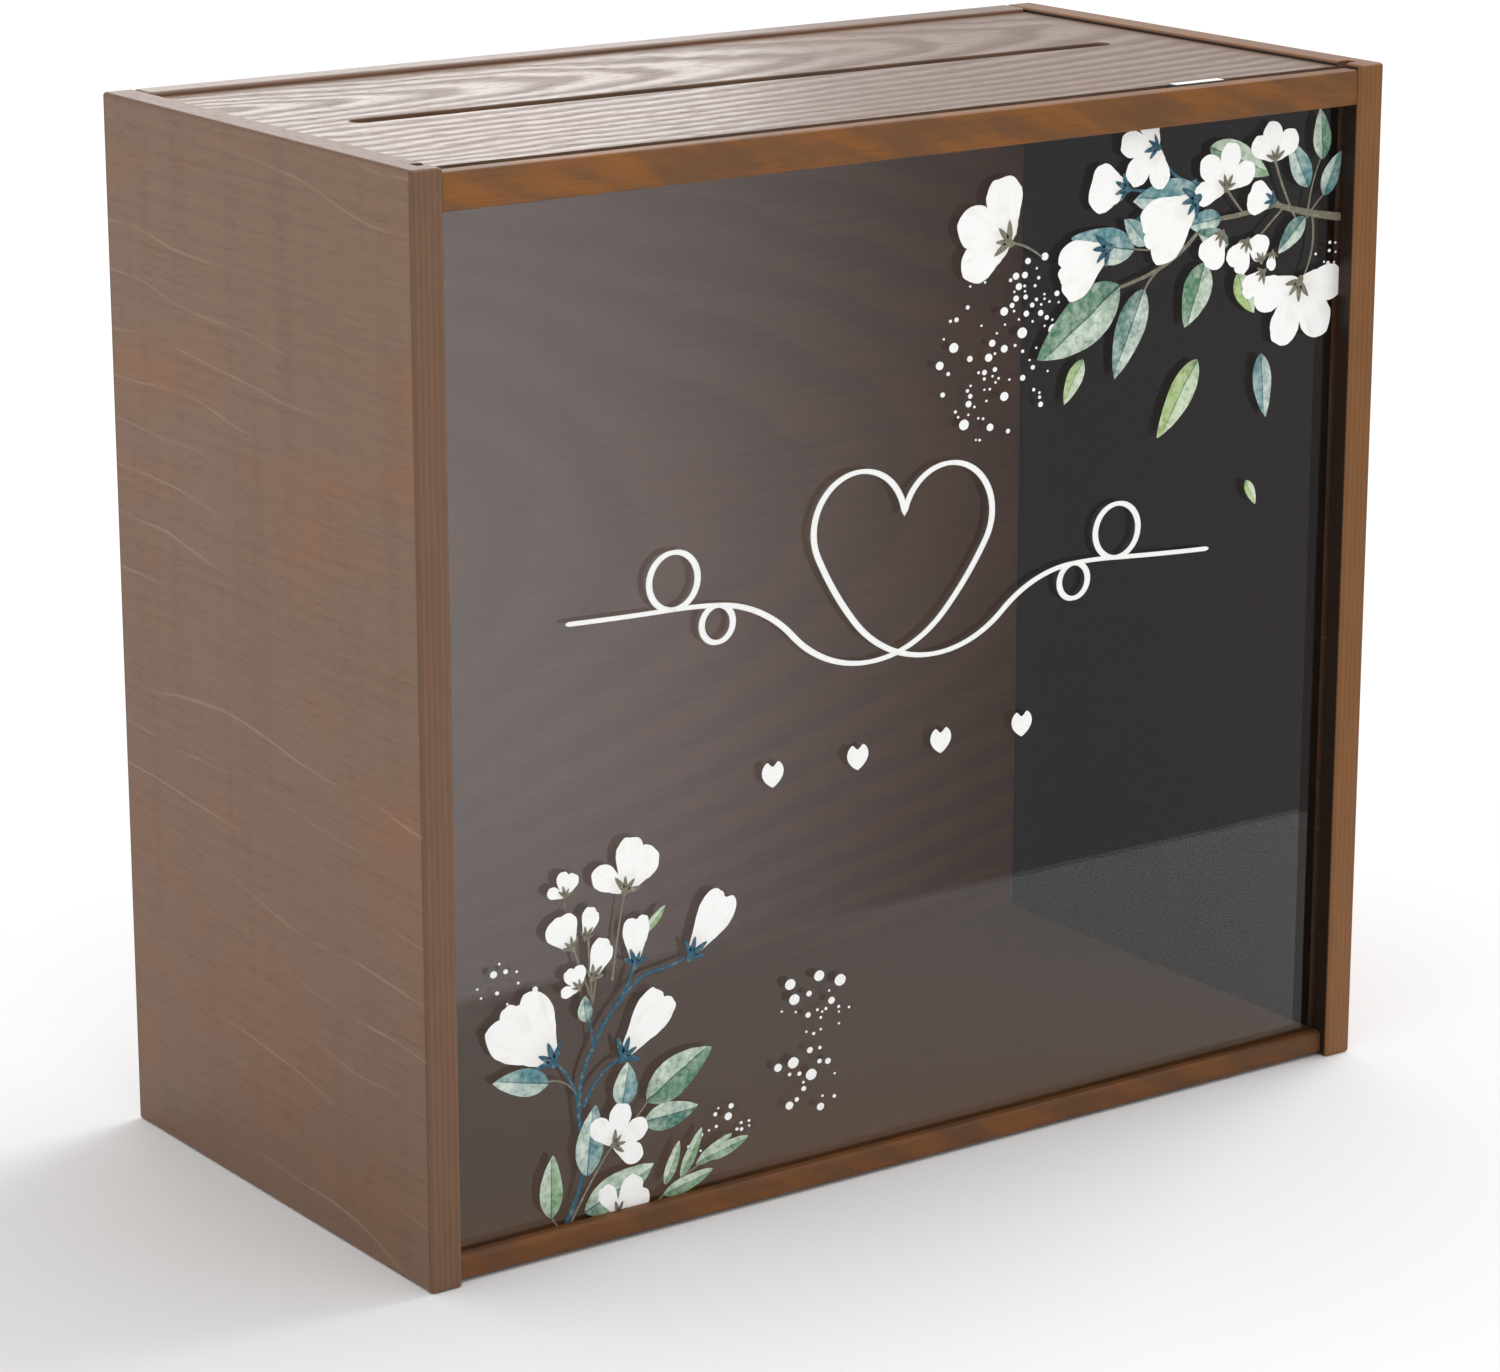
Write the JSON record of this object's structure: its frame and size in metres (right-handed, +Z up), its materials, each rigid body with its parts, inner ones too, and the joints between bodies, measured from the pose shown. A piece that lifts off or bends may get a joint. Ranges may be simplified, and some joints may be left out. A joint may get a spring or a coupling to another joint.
{
  "type": "wedding card box",
  "caption": "Shallow upright wooden box with a recessed slotted top and a clear front pane, printed with flowers, that slides up and out.",
  "frame": {"origin": "middle of the footprint, on the surface the box stands on", "axes": "+X to the right as one faces the pane, +Y to the back, +Z up"},
  "size_m": [0.305, 0.152, 0.281],
  "materials": {
    "stained_wood": "walnut-brown stain under satin varnish, over 9 mm plywood",
    "clear_acrylic": "clear cast acrylic sheet, polished faces and edges",
    "dowel_wood": "bare beech, glued in",
    "white_ink": "opaque white ink, matt",
    "leaf_ink": "green, teal and brown inks with white blossoms, matt"
  },
  "bodies": {
    "case": {"left_side_panel": "stained_wood", "right_side_panel": "stained_wood", "back_panel": "stained_wood", "top_panel": "stained_wood", "bottom_panel": "stained_wood", "front_top_rail": "stained_wood", "top_dowels_left": "dowel_wood", "top_dowels_right": "dowel_wood", "top_dowels_back": "dowel_wood", "bottom_dowels_left": "dowel_wood", "bottom_dowels_right": "dowel_wood", "bottom_dowels_back": "dowel_wood", "back_dowels_left": "dowel_wood", "back_dowels_right": "dowel_wood", "rail_dowel_left": "dowel_wood", "rail_dowel_right": "dowel_wood"},
    "pane": {"front_pane": "clear_acrylic", "flourish_print": "white_ink", "heart_row_print": "white_ink", "lower_speckle_print": "white_ink", "upper_speckle_print": "white_ink", "lower_bouquet_print": "leaf_ink", "upper_branch_print": "leaf_ink", "drifting_leaves_print": "leaf_ink"}
  },
  "joints": [
    {"name": "pane_lift", "type": "slide", "parent": "case", "child": "pane", "axis": [0, 0, 1], "range_m": [0, 0.28]}
  ]
}
